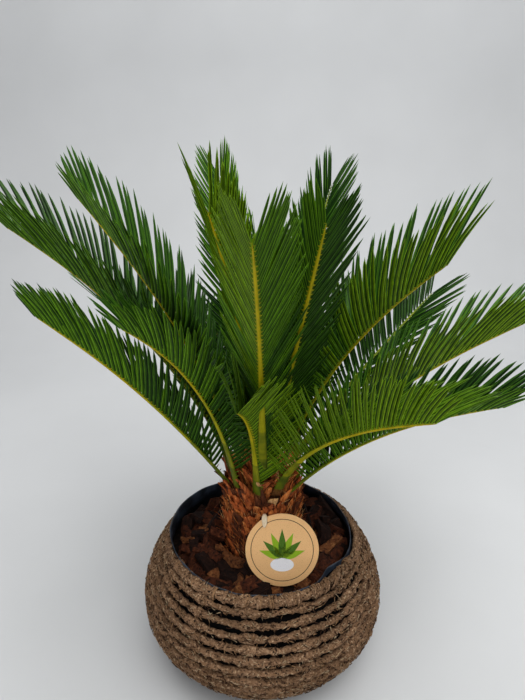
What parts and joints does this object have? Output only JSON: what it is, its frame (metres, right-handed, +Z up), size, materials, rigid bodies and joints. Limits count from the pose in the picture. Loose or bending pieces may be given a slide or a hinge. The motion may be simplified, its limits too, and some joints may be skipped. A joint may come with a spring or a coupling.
{
  "type": "potted sago palm",
  "caption": "Sago palm with a short scaly trunk and a crown of stiff arching feather fronds, in a round rope basket with a plastic liner, bark mulch and a round card tag.",
  "frame": {"origin": "centre of the basket's flat underside", "axes": "+Z up along the trunk, -Y towards the front, where the tag leans, +X to the viewer's right"},
  "size_m": [0.5211, 0.5101, 0.5559],
  "materials": {
    "rope": "rough fibrous rope",
    "liner": "thin crumpled film",
    "soil": "crumbly",
    "mulch": "rough chips",
    "trunk": "scaly and fibrous",
    "leaf": "waxy",
    "card": "matte",
    "peg": "bare"
  },
  "bodies": {
    "root": {"basket": "rope", "liner": "liner", "soil": "soil", "bark_mulch": "mulch", "trunk": "trunk", "tag_card": "card", "tag_peg": "peg", "frond_front_low": "leaf", "frond_front_tall": "leaf", "frond_front_left": "leaf", "frond_front_right": "leaf", "frond_inner_left": "leaf", "frond_inner_right": "leaf", "frond_left_upper": "leaf", "frond_left_long": "leaf", "frond_left_low": "leaf", "frond_right_upper": "leaf", "frond_right_long": "leaf", "frond_right_low": "leaf", "frond_right_back": "leaf", "frond_back_tall_left": "leaf", "frond_back_tall_right": "leaf", "frond_back_inner": "leaf", "frond_back_left": "leaf", "frond_back_low_right": "leaf", "frond_back_low_middle": "leaf", "frond_back_low_left": "leaf", "frond_back_side_left": "leaf"}
  },
  "joints": []
}
